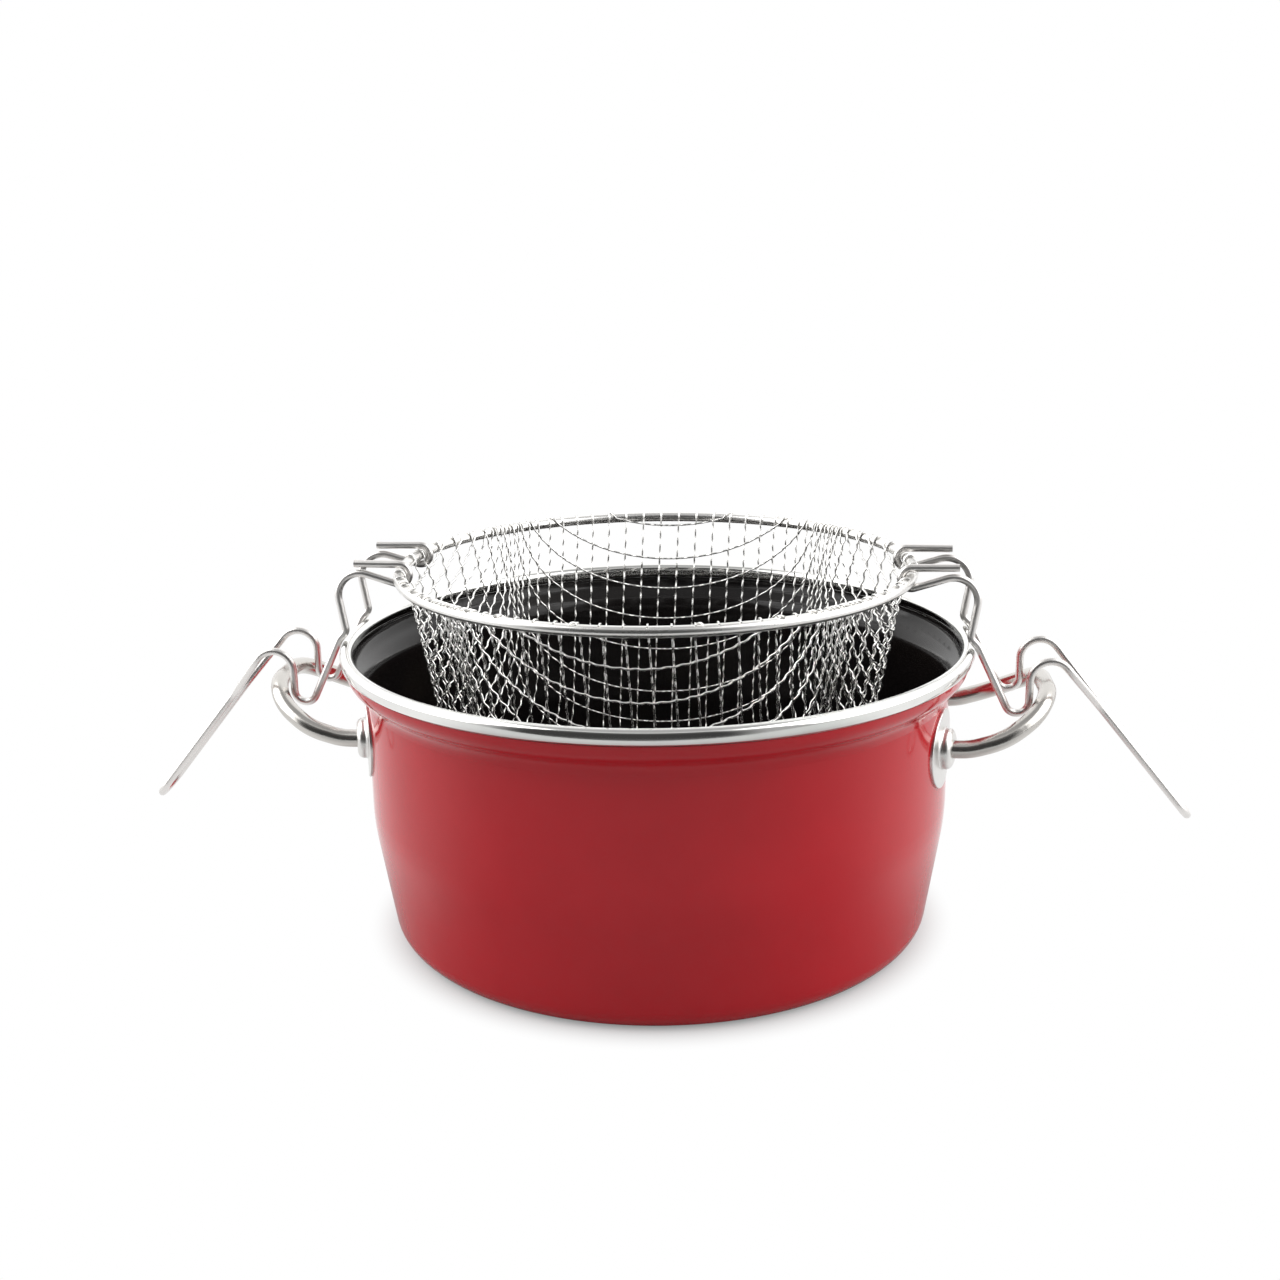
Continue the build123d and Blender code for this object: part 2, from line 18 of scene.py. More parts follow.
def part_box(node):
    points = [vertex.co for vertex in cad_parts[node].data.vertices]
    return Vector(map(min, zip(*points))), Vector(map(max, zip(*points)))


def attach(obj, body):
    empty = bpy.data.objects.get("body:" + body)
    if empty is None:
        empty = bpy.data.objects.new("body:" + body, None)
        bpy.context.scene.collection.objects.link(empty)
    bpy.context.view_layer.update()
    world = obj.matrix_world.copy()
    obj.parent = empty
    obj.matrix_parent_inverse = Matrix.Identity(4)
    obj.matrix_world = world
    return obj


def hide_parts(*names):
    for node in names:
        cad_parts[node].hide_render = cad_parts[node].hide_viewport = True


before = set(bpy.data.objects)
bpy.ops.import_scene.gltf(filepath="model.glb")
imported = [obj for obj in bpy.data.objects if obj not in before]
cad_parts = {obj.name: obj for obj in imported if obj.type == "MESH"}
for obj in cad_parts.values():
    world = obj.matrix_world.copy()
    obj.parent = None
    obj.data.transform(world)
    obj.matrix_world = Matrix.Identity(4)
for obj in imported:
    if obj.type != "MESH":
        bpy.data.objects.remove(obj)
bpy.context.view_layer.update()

LOG = logging.getLogger("fryer_pot")
MM = 0.001
CUP_TAPER = math.radians(10.4)
TO_CAMERA = (0.108, -0.994)
WHITE = (1.0, 1.0, 1.0, 1.0)


class Shader:
    """A node tree in the making, with one method that makes any node."""

    def __init__(self, tree: bpy.types.NodeTree) -> None:
        """Empty the tree and keep it.

        Args:
            tree: the node tree of a material or of the world.
        """
        self.tree = tree
        tree.nodes.clear()

    def node(self, kind: str, settings: dict[str, Any] | None = None,
             inputs: dict[Any, Any] | None = None) -> bpy.types.Node:
        """Make one node.

        Args:
            kind: the node's type.
            settings: its properties, set first. The key "stops" holds a ramp's places and colours.
            inputs: values or Term links for its sockets, by name or number.

        Returns:
            The new node.
        """
        made = self.tree.nodes.new(kind)
        for name, value in (settings or {}).items():
            if name == "stops":
                self._set_stops(made.color_ramp, value)
            else:
                setattr(made, name, value)
        for key, value in (inputs or {}).items():
            socket = made.inputs[key]
            if isinstance(value, Term):
                self.tree.links.new(value.socket, socket)
            else:
                socket.default_value = value
        return made

    def term(self, kind: str, output: Any, settings: dict[str, Any] | None = None,
             inputs: dict[Any, Any] | None = None) -> "Term":
        """Make a node and return one of its outputs as a term.

        Args:
            kind: the node's type.
            output: name or number of the wanted output.
            settings: the node's properties.
            inputs: values or links for its sockets.

        Returns:
            The output, ready for arithmetic.
        """
        return Term(self, self.node(kind, settings, inputs).outputs[output])

    def mix(self, share: Any, first: Any, second: Any) -> "Term":
        """Blend two colours: first where share is 0, second where it is 1."""
        return self.term("ShaderNodeMix", 2, {"data_type": "RGBA"},
                         {0: share, 6: first, 7: second})

    @staticmethod
    def _set_stops(ramp: bpy.types.ColorRamp, stops: Sequence[tuple]) -> None:
        """Give a colour ramp its stops, each a place and an RGBA colour."""
        while len(ramp.elements) < len(stops):
            ramp.elements.new(1.0)
        for element, (place, colour) in zip(ramp.elements, stops):
            element.position = place
            element.color = colour


@dataclass
class Term:
    """One output socket that takes part in arithmetic."""

    shader: Shader
    socket: bpy.types.NodeSocket

    def _math(self, operation: str, first: Any, second: Any = 0.0, third: Any = 0.0) -> "Term":
        """Add a Math node and return its result."""
        return self.shader.term("ShaderNodeMath", 0, {"operation": operation},
                                {0: first, 1: second, 2: third})

    def __add__(self, other: Any) -> "Term":
        """Sum with a number or term."""
        return self._math("ADD", self, other)

    __radd__ = __add__

    def __sub__(self, other: Any) -> "Term":
        """Difference."""
        return self._math("SUBTRACT", self, other)

    def __rsub__(self, other: Any) -> "Term":
        """Reflected difference."""
        return self._math("SUBTRACT", other, self)

    def __mul__(self, other: Any) -> "Term":
        """Product."""
        return self._math("MULTIPLY", self, other)

    __rmul__ = __mul__

    def __truediv__(self, other: Any) -> "Term":
        """Quotient."""
        return self._math("DIVIDE", self, other)

    def root(self) -> "Term":
        """Square root."""
        return self._math("SQRT", self)

    def turn_from(self, other: "Term") -> "Term":
        """Angle of the point with this as its height and other as its reach."""
        return self._math("ARCTAN2", self, other)

    def step(self, low: float, high: float) -> "Term":
        """Smooth step from 0 at low to 1 at high."""
        return self.shader.term("ShaderNodeMapRange", 0, {"interpolation_type": "SMOOTHSTEP"},
                                {0: self, 1: low, 2: high, 3: 0.0, 4: 1.0})


class Grain(Enum):
    """Direction of the fine lines that polishing or drawing leaves on metal."""

    ROUND_THE_RIM = "round"
    ALONG_THE_WIRE = "along"
    SATIN = "satin"


def blank_material(name: str) -> tuple[bpy.types.Material, Shader]:
    """Make an empty material with a shader tree.

    Args:
        name: the material's name.

    Returns:
        The material and its shader.
    """
    material = bpy.data.materials.new(name)
    material.use_nodes = True
    return material, Shader(material.node_tree)


def close_material(shader: Shader, surface: bpy.types.Node) -> None:
    """Join a surface shader to the material's output."""
    shader.node("ShaderNodeOutputMaterial", inputs={0: Term(shader, surface.outputs[0])})


@dataclass(frozen=True)
class Enamel:
    """Vitreous enamel: a glassy coat with faint waves and a little cloudiness in its colour."""

    name: str
    colour: tuple[float, float, float]
    cloud_colour: tuple[float, float, float]
    roughness: float
    specular: float
    wave_scale: float
    wave_depth: float
    cloud_scale: float = 22.0
    cloud_fade: tuple[float, float] = (0.35, 0.75)
    cloud_roughening: float = 0.02
    speck_scale: float = 900.0
    speck_roughening: float = 0.04

    def material(self) -> bpy.types.Material:
        """Build the enamel's material."""
        material, sh = blank_material(self.name)
        place = sh.term("ShaderNodeTexCoord", "Object")
        cloud = sh.term("ShaderNodeTexNoise", "Fac", None,
                        {"Vector": place, "Scale": self.cloud_scale, "Detail": 3.0,
                         "Roughness": 0.55})
        speck = sh.term("ShaderNodeTexNoise", "Fac", None,
                        {"Vector": place, "Scale": self.speck_scale, "Detail": 1.0})
        wave = sh.term("ShaderNodeTexNoise", "Fac", None,
                       {"Vector": place, "Scale": self.wave_scale, "Detail": 1.5,
                        "Roughness": 0.4})
        colour = sh.mix(cloud.step(*self.cloud_fade), (*self.colour, 1.0),
                        (*self.cloud_colour, 1.0))
        bump = sh.term("ShaderNodeBump", 0, None,
                       {"Strength": 1.0, "Distance": self.wave_depth, "Height": wave})
        surface = sh.node("ShaderNodeBsdfPrincipled", None, {
            "Base Color": colour,
            "Roughness": (self.roughness + speck * self.speck_roughening
                          + cloud * self.cloud_roughening),
            "Specular IOR Level": self.specular,
            "IOR": 1.5,
            "Normal": bump,
        })
        close_material(sh, surface)
        return material


@dataclass(frozen=True)
class Steel:
    """Bright steel with the fine lines of its polishing and faint smudges."""

    name: str
    colour: tuple[float, float, float]
    roughness: float
    line_depth: float
    grain: Grain
    line_roughening: float = 0.03
    smudge_scale: float = 60.0
    smudge_fade: tuple[float, float] = (0.4, 0.8)
    smudge_tint: float = 0.93
    smudge_roughening: float = 0.05

    def material(self) -> bpy.types.Material:
        """Build the steel's material."""
        material, sh = blank_material(self.name)
        place = sh.term("ShaderNodeTexCoord", "Object")
        lines = self._lines(sh, place)
        smudge = sh.term("ShaderNodeTexNoise", "Fac", None,
                         {"Vector": place, "Scale": self.smudge_scale, "Detail": 3.0,
                          "Roughness": 0.6})
        tint = tuple(self.smudge_tint * c for c in self.colour)
        bump = sh.term("ShaderNodeBump", 0, None,
                       {"Strength": 1.0, "Distance": self.line_depth, "Height": lines})
        surface = sh.node("ShaderNodeBsdfPrincipled", None, {
            "Base Color": sh.mix(smudge.step(*self.smudge_fade), (*self.colour, 1.0),
                                 (*tint, 1.0)),
            "Metallic": 1.0,
            "Roughness": (self.roughness + smudge * self.smudge_roughening
                          + lines * self.line_roughening),
            "Normal": bump,
        })
        close_material(sh, surface)
        return material

    def _lines(self, sh: Shader, place: Term) -> Term:
        """Fine lines in the grain's direction, as a value from 0 to 1.

        Args:
            sh: the material's shader.
            place: the object coordinates.

        Returns:
            The line pattern.
        """
        if self.grain is Grain.ROUND_THE_RIM:
            part = sh.node("ShaderNodeSeparateXYZ", None, {0: place})
            x, y, z = (Term(sh, part.outputs[i]) for i in range(3))
            reach = (x * x + y * y).root()
            place = sh.term("ShaderNodeCombineXYZ", 0, None,
                            {0: y.turn_from(x) * 0.01, 1: reach, 2: z})
            scale = 2600.0
        elif self.grain is Grain.ALONG_THE_WIRE:
            place = sh.term("ShaderNodeMapping", 0, None,
                            {0: place, 3: (0.12, 1.0, 0.3)})
            scale = 1500.0
        else:
            scale = 2200.0
        return sh.term("ShaderNodeTexNoise", "Fac", None,
                       {"Vector": place, "Scale": scale, "Detail": 2.0})


RED_ENAMEL = Enamel("red_enamel", (0.50, 0.004, 0.012), (0.46, 0.003, 0.010), 0.05, 0.42, 90.0,
                    0.00003)
BLACK_ENAMEL = Enamel("black_enamel", (0.006, 0.005, 0.005), (0.010, 0.008, 0.007), 0.10, 0.33,
                      120.0, 0.00003)
GROUND_ENAMEL = Enamel("ground_enamel", (0.010, 0.010, 0.012), (0.018, 0.018, 0.020), 0.22, 0.4,
                       200.0, 0.00004)
RIM_STEEL = Steel("rim_steel", (0.83, 0.83, 0.81), 0.06, 0.0000015, Grain.ROUND_THE_RIM)
BAR_STEEL = Steel("bar_steel", (0.60, 0.58, 0.55), 0.17, 0.0000015, Grain.ALONG_THE_WIRE)
FLANGE_STEEL = Steel("flange_steel", (0.76, 0.75, 0.73), 0.26, 0.000003, Grain.SATIN)
BARE_STEEL = Steel("bare_steel", (0.55, 0.55, 0.54), 0.3, 0.000005, Grain.SATIN)
RING_STEEL = Steel("ring_plating", (0.86, 0.85, 0.83), 0.24, 0.0000015, Grain.ROUND_THE_RIM)
HANDLE_STEEL = Steel("handle_plating", (0.78, 0.76, 0.74), 0.30, 0.0000006, Grain.ALONG_THE_WIRE)
MESH_STEEL = Steel("mesh_plating", (0.90, 0.89, 0.87), 0.20, 0.000001, Grain.SATIN)


def dress(nodes: Sequence[str], finish: Enamel | Steel) -> None:
    """Give CAD nodes a finish.

    Args:
        nodes: the nodes' names.
        finish: the finish for all of them.
    """
    material = finish.material()
    for name in nodes:
        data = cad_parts[name].data
        data.materials.clear()
        data.materials.append(material)
    LOG.info("%s on %s", finish.name, ", ".join(nodes))


@dataclass
class Pot:
    """The enamelled pot with its flanges and loop handles, all shown as CAD nodes."""

    flanges: tuple[str, ...] = ("left_front_flange", "left_rear_flange",
                                "right_front_flange", "right_rear_flange")
    welds: tuple[str, ...] = ("left_flange_welds", "right_flange_welds")
    bars: tuple[str, ...] = ("left_loop_handle", "right_loop_handle")

    def dress(self) -> None:
        """Give every piece of the pot its finish."""
        dress(["outer_enamel"], RED_ENAMEL)
        dress(["inner_enamel"], BLACK_ENAMEL)
        dress(["base_enamel"], GROUND_ENAMEL)
        dress(self.bars, BAR_STEEL)
        dress(self.flanges, FLANGE_STEEL)
        dress(["pot_shell", *self.welds], BARE_STEEL)


@dataclass
class RimBand:
    """The polished band rolled over the pot's lip, turned finely so that it mirrors cleanly."""

    sheet: float = 0.6 * MM
    slot_width: float = 1.1 * MM
    width: float = 5.0 * MM
    steps_round: int = 360
    steps_per_arc: int = 10

    def build(self) -> None:
        """Make the band in the place of its CAD node."""
        low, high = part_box("rim_band")
        outline = self._outline(high.x - self.width / 2, low.z, high.z)
        reach, level = outline[:, 0], outline[:, 1]
        count, rows = len(outline), self.steps_round
        turns = np.arange(rows) * 2 * math.pi / rows
        points = np.stack([np.outer(np.cos(turns), reach), np.outer(np.sin(turns), reach),
                           np.outer(np.ones(rows), level)], -1).reshape(-1, 3)
        faces = [(a * count + b, (a + 1) % rows * count + b,
                  (a + 1) % rows * count + (b + 1) % count, a * count + (b + 1) % count)
                 for a in range(rows) for b in range(count)]
        mesh = bpy.data.meshes.new("rim_band_turned")
        mesh.from_pydata(points.tolist(), [], faces)
        mesh.shade_smooth()
        mesh.materials.append(RIM_STEEL.material())
        piece = bpy.data.objects.new("rim_band_turned", mesh)
        bpy.context.scene.collection.objects.link(piece)
        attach(piece, "pot")
        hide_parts("rim_band")
        LOG.info("%s: %d faces", piece.name, len(faces))

    def _outline(self, centre: float, bottom: float, top: float) -> np.ndarray:
        """The band's section, anticlockwise: outside up and over, then back along the inside.

        Args:
            centre: reach of the section's middle.
            bottom: level of its underside.
            top: level of its top.

        Returns:
            Reach and level of its corners.
        """
        half = self.width / 2
        low_middle, high_middle = bottom + half, top - half
        loops = []
        for inset in (0.0, self.sheet):
            radius = half - inset
            start = math.asin(self.slot_width / 2 / radius)
            low_arc = np.linspace(start - math.pi / 2, 0.0, self.steps_per_arc)
            high_arc = np.linspace(0.0, math.pi, 2 * self.steps_per_arc)
            turned = np.concatenate([low_arc, high_arc, math.pi - low_arc[::-1]])
            middle = np.full_like(turned, low_middle)
            middle[len(low_arc):-len(low_arc)] = high_middle
            loops.append(np.stack([centre + radius * np.cos(turned),
                                   middle + radius * np.sin(turned)], -1))
        outside, inside = loops
        return np.concatenate([outside, inside[::-1]])


@dataclass
class Cup:
    """Middle surface of the mesh cup: a flat bottom, a round corner and a straight tapered wall.

    A point is named by its run, the way from the middle of the bottom along the surface, and by
    its angle about the upright axis. All lengths are metres.
    """

    ring_radius: float
    ring_wire: float
    ring_level: float
    bottom: float
    top_radius: float
    thickness: float = 1.6 * MM
    corner: float = 20.0 * MM
    slope: float = CUP_TAPER
    clearance: float = 0.05 * MM
    bend: float = field(init=False)
    floor: float = field(init=False)
    flat_run: float = field(init=False)
    corner_run: float = field(init=False)
    ring_run: float = field(init=False)
    ring_gap: float = field(init=False)

    def __post_init__(self) -> None:
        """Work out where the flat, the corner and the wall end."""
        half = self.thickness / 2
        self.bend = self.corner - half
        self.floor = self.bottom + half
        wall = self.top_radius - half / math.cos(self.slope)
        centre = self.floor + self.bend
        self.flat_run = (wall + (centre - self.ring_level) * math.tan(self.slope)
                         - self.bend / math.cos(self.slope))
        turn = math.pi / 2 - self.slope
        self.corner_run = self.flat_run + self.bend * turn
        wall_start = centre - self.bend * math.sin(self.slope)
        wall_run = (self.ring_level - wall_start) / math.cos(self.slope)
        beyond = self.ring_radius - wall
        self.ring_run = self.corner_run + wall_run + beyond * math.sin(self.slope)
        self.ring_gap = beyond * math.cos(self.slope)

    def place(self, run: np.ndarray) -> tuple[np.ndarray, np.ndarray, np.ndarray, np.ndarray]:
        """Reach, level and direction of the surface.

        Args:
            run: ways from the middle of the bottom.

        Returns:
            Reach from the axis, level, and the reach and level parts of the unit direction.
        """
        turned = np.clip((run - self.flat_run) / self.bend, 0, math.pi / 2 - self.slope)
        wall = np.maximum(run - self.corner_run, 0)
        reach = np.minimum(run, self.flat_run) + self.bend * np.sin(turned)
        level = self.floor + self.bend * (1 - np.cos(turned))
        return (reach + wall * math.sin(self.slope), level + wall * math.cos(self.slope),
                np.cos(turned), np.sin(turned))


class Drape:
    """How a flat square of woven mesh lies once it is pressed into the cup.

    The wires keep their lengths and turn against each other where they cross, so the square
    shears towards its corners. One quarter is worked out, and the others mirror it.
    """

    solver_rounds: int = 12
    largest_turn: float = 0.02
    cells_past_ring: int = 12

    def __init__(self, cup: Cup, pitch: float, reach: float) -> None:
        """Lay the net down, crossing by crossing.

        Args:
            cup: the surface.
            pitch: spacing of the net that is worked out.
            reach: how far from the middle the square goes.
        """
        self.cup, self.pitch = cup, pitch
        count = int(reach / pitch) + 1
        ways = np.arange(count) * pitch
        self.run = np.full((count, count), np.nan)
        self.spot = np.full((count, count, 3), np.nan)
        self.run[:, 0] = ways
        self.run[0, :] = ways
        self.spot[:, 0] = self._point(ways, 0.0)
        self.spot[0, :] = self._point(ways, math.pi / 2)
        for diagonal in range(2, 2 * count - 1):
            i = np.arange(max(1, diagonal - count + 1), min(diagonal, count))
            j = diagonal - i
            inside = (j >= 1) & (j < count)
            self._lay(i[inside], j[inside])

    def _point(self, run: np.ndarray, angle: Any) -> np.ndarray:
        """Points of the surface in space."""
        reach, level, _, _ = self.cup.place(run)
        return np.stack([reach * np.cos(angle), reach * np.sin(angle), level], -1)

    def _lay(self, i: np.ndarray, j: np.ndarray) -> None:
        """Find crossings that are one pitch from both neighbours.

        Args:
            i: numbers of the crossings along the first direction.
            j: numbers along the second.
        """
        past = self.cup.ring_run + self.cells_past_ring * self.pitch
        near, beside, behind = self.spot[i - 1, j], self.spot[i, j - 1], self.spot[i - 1, j - 1]
        good = np.isfinite(near + beside + behind).all(-1)
        good &= (self.run[i - 1, j] < past) & (self.run[i, j - 1] < past)
        i, j, near, beside, behind = i[good], j[good], near[good], beside[good], behind[good]
        if not len(i):
            return
        guess = near + beside - behind
        angle = np.arctan2(guess[:, 1], guess[:, 0])
        flat = np.hypot(i, j) * self.pitch
        run = np.where(flat <= self.cup.flat_run, flat,
                       self.run[i - 1, j] + self.run[i, j - 1] - self.run[i - 1, j - 1])
        for _ in range(self.solver_rounds):
            reach, level, out, up = self.cup.place(run)
            c, s = np.cos(angle), np.sin(angle)
            here = np.stack([reach * c, reach * s, level], -1)
            by_run = np.stack([out * c, out * s, up], -1)
            by_angle = np.stack([-reach * s, reach * c, 0 * reach], -1)
            miss = [((here - q) ** 2).sum(-1) - self.pitch ** 2 for q in (near, beside)]
            a = [2 * ((here - q) * by_run).sum(-1) for q in (near, beside)]
            b = [2 * ((here - q) * by_angle).sum(-1) for q in (near, beside)]
            whole = a[0] * b[1] - a[1] * b[0]
            run = run - np.clip((miss[0] * b[1] - miss[1] * b[0]) / whole,
                                -self.pitch, self.pitch)
            angle = angle - np.clip((a[0] * miss[1] - a[1] * miss[0]) / whole,
                                    -self.largest_turn, self.largest_turn)
        self.run[i, j] = run
        self.spot[i, j] = self._point(run, angle)

    def find(self, x: np.ndarray, y: np.ndarray) -> tuple[np.ndarray, np.ndarray]:
        """Where points of the flat square end up.

        Args:
            x: places along the first direction of the square.
            y: places along the second.

        Returns:
            Run and angle on the cup. The run is not a number past the ring.
        """
        across, along = np.abs(x) / self.pitch, np.abs(y) / self.pitch
        last = self.run.shape[0] - 2
        i = np.clip(np.floor(across).astype(int), 0, last)
        j = np.clip(np.floor(along).astype(int), 0, last)
        u, v = across - i, along - j

        def between(table: np.ndarray) -> np.ndarray:
            """Blend a table's four corners."""
            return ((1 - u) * (1 - v) * table[i, j] + u * (1 - v) * table[i + 1, j]
                    + (1 - u) * v * table[i, j + 1] + u * v * table[i + 1, j + 1])

        angle = np.arctan2(between(self.spot[..., 1]) * np.where(y < 0, -1, 1),
                           between(self.spot[..., 0]) * np.where(x < 0, -1, 1))
        return between(self.run), angle


@dataclass
class WireNodes:
    """Geometry Nodes that crimp wire lines and give them their round section."""

    tree: bpy.types.NodeTree = field(init=False)

    def __post_init__(self) -> None:
        """Build the tree with its named inputs."""
        self.tree = bpy.data.node_groups.new("crimped_wires", "GeometryNodeTree")
        face = self.tree.interface
        face.new_socket(name="Geometry", in_out="INPUT", socket_type="NodeSocketGeometry")
        for name in ("Wire Radius", "Crimp Height"):
            face.new_socket(name=name, in_out="INPUT", socket_type="NodeSocketFloat")
        face.new_socket(name="Sides", in_out="INPUT", socket_type="NodeSocketInt")
        face.new_socket(name="Finish", in_out="INPUT", socket_type="NodeSocketMaterial")
        face.new_socket(name="Geometry", in_out="OUTPUT", socket_type="NodeSocketGeometry")
        sh = Shader(self.tree)
        given = sh.node("NodeGroupInput")
        lines, radius, height, sides, finish = (Term(sh, given.outputs[i]) for i in range(5))
        phase = sh.term("GeometryNodeInputNamedAttribute", 0, {"data_type": "FLOAT"},
                        {0: "phase"})
        hold = sh.term("GeometryNodeInputNamedAttribute", 0, {"data_type": "FLOAT"},
                       {0: "hold"})
        outward = sh.term("GeometryNodeInputNamedAttribute", 0, {"data_type": "FLOAT_VECTOR"},
                          {0: "outward"})
        wave = sh.term("ShaderNodeMath", 0, {"operation": "COSINE"}, {0: phase}) * hold * height
        offset = sh.term("ShaderNodeVectorMath", 0, {"operation": "SCALE"},
                         {0: outward, "Scale": wave})
        crimped = sh.term("GeometryNodeSetPosition", 0, None, {0: lines, "Offset": offset})
        paths = sh.term("GeometryNodeMeshToCurve", 0, None, {0: crimped})
        section = sh.term("GeometryNodeCurvePrimitiveCircle", 0, {"mode": "RADIUS"},
                          {"Resolution": sides, "Radius": radius})
        wires = sh.term("GeometryNodeCurveToMesh", 0, None,
                        {"Curve": paths, "Profile Curve": section, "Fill Caps": True})
        smooth = sh.term("GeometryNodeSetShadeSmooth", 0, None, {0: wires})
        whole = sh.term("GeometryNodeRealizeInstances", 0, None, {0: smooth})
        done = sh.term("GeometryNodeSetMaterial", 0, None, {0: whole, "Material": finish})
        sh.node("NodeGroupOutput", None, {0: done})

    def inputs(self) -> dict[str, str]:
        """Identifiers of the tree's named inputs."""
        return {item.name: item.identifier for item in self.tree.interface.items_tree
                if item.in_out == "INPUT"}


@dataclass
class WirePath:
    """One wire of the mesh as points with what the crimping needs."""

    points: np.ndarray
    phase: np.ndarray
    outward: np.ndarray
    hold: np.ndarray


@dataclass
class BasketMesh:
    """The woven wire cup, from one crimped square mesh pressed into the cup.

    Wires along Y stand 8 mm apart, and wires along X cross them. Both are crimped between their
    crossings too, three half waves to 8 mm.
    """

    wire_radius: float = 0.4 * MM
    along_pitch: float = 8.0 * MM
    first_along: float = 4.0 * MM
    half_wave: float = 8.0 / 3 * MM
    steps_per_half_wave: int = 3
    sides: int = 6
    bottom_turn: float = math.radians(3.9)
    wall_twist: float = math.radians(-2.3)
    hook_place: float = 18.0 * MM
    hook_room: float = 2.7 * MM
    hook_reach: float = 6.0 * MM
    hook_zone: float = 16.0 * MM
    lean_zone: float = 12.0 * MM
    straight_zone: float = 3.0 * MM
    curl_turn: float = math.radians(115)
    curl_steps: int = 8
    curl_drift: float = 0.5
    least_drift_run: float = 0.4 * MM
    most_drift: float = 10.0
    fewest_points: int = 8
    net_pitch: float = 1.0 * MM
    net_reach: float = 215.0 * MM
    cup: Cup = field(init=False)
    drape: Drape = field(init=False)

    def __post_init__(self) -> None:
        """Read the cup's sizes from the CAD nodes that the mesh belongs to."""
        low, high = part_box("basket_ring")
        mesh_low, mesh_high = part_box("basket_mesh")
        ring_wire = (high.z - low.z) / 2
        level = (high.z + low.z) / 2
        top = mesh_high.x + (level - mesh_high.z) * math.tan(CUP_TAPER)
        self.cup = Cup(high.x - ring_wire, ring_wire, level, mesh_low.z, top)
        self.drape = Drape(self.cup, self.net_pitch, self.net_reach)

    def cross_places(self) -> np.ndarray:
        """Places of the wires along X, in the flat square.

        Read from the photograph: nearly even, with one wide gap behind.
        """
        front = np.array([-191.2, -178.0, -164.7, -151.4, -137.8])
        back = np.array([86.5, 100.4, 120.0, 134.2, 148.0, 161.5, 176.6, 190.0])
        middle = np.linspace(front[-1], back[0], 18)[1:-1]
        return np.concatenate([front, middle, back]) * MM

    def along_places(self) -> np.ndarray:
        """Places of the wires along Y, in the flat square."""
        last = math.ceil(self.cup.ring_run / self.along_pitch) + 1
        return self.first_along + self.along_pitch * np.arange(-last, last)

    def _wave_table(self, crossings: np.ndarray) -> np.ndarray:
        """Phase of a wire's waves at each crossing, an odd count of half waves apart."""
        waves = np.maximum(2 * np.round((np.diff(crossings) / self.half_wave - 1) / 2) + 1, 1)
        return np.concatenate([[0.0], np.cumsum(waves)]) * math.pi

    def build(self, nodes: WireNodes, material: bpy.types.Material) -> list[bpy.types.Object]:
        """Make the two sets of wires as plain meshes.

        Args:
            nodes: the tree that gives wires their crimps and section.
            material: their finish.

        Returns:
            The wires along Y and the wires along X.
        """
        along, cross = self.along_places(), self.cross_places()
        made = []
        for name, own, other, swap in (("mesh_wires_front_to_rear", along, cross, False),
                                       ("mesh_wires_side_to_side", cross, along, True)):
            table = self._wave_table(other)
            phases = np.arange(0, table[-1], math.pi / self.steps_per_half_wave)
            ways = np.interp(phases, table, other)
            paths = []
            for number, place in enumerate(own):
                shift = math.pi * (number + swap)
                fixed = np.full_like(ways, place)
                run, angle = self.drape.find(*((ways, fixed) if swap else (fixed, ways)))
                paths += self._cut(run, angle, phases + shift)
            made.append(self._wires(name, paths, nodes, material))
            LOG.info("%s: %d wires", name, len(paths))
        return made

    def _cut(self, run: np.ndarray, angle: np.ndarray, phase: np.ndarray) -> list[WirePath]:
        """Keep the part of a wire that lies in the cup and curl its ends over the ring.

        Args:
            run: runs of its points.
            angle: their angles.
            phase: their phases.

        Returns:
            No path, or one.
        """
        last = self.cup.ring_run
        inside = np.flatnonzero(np.nan_to_num(run, nan=1.0) < last)
        if len(inside) < self.fewest_points:
            return []
        first, final = inside[0], inside[-1]
        if first == 0 or final == len(run) - 1:
            return []
        if not np.isfinite(run[[first - 1, final + 1]]).all():
            return []
        kept = slice(first - 1, final + 2)
        keys = [run[kept].copy(), np.unwrap(angle[kept]), phase[kept].copy()]
        for end, inner in ((0, 1), (-1, -2)):
            share = (last - keys[0][inner]) / (keys[0][end] - keys[0][inner])
            for key in keys:
                key[end] = key[inner] + share * (key[end] - key[inner])
        return [self._place(*keys)]

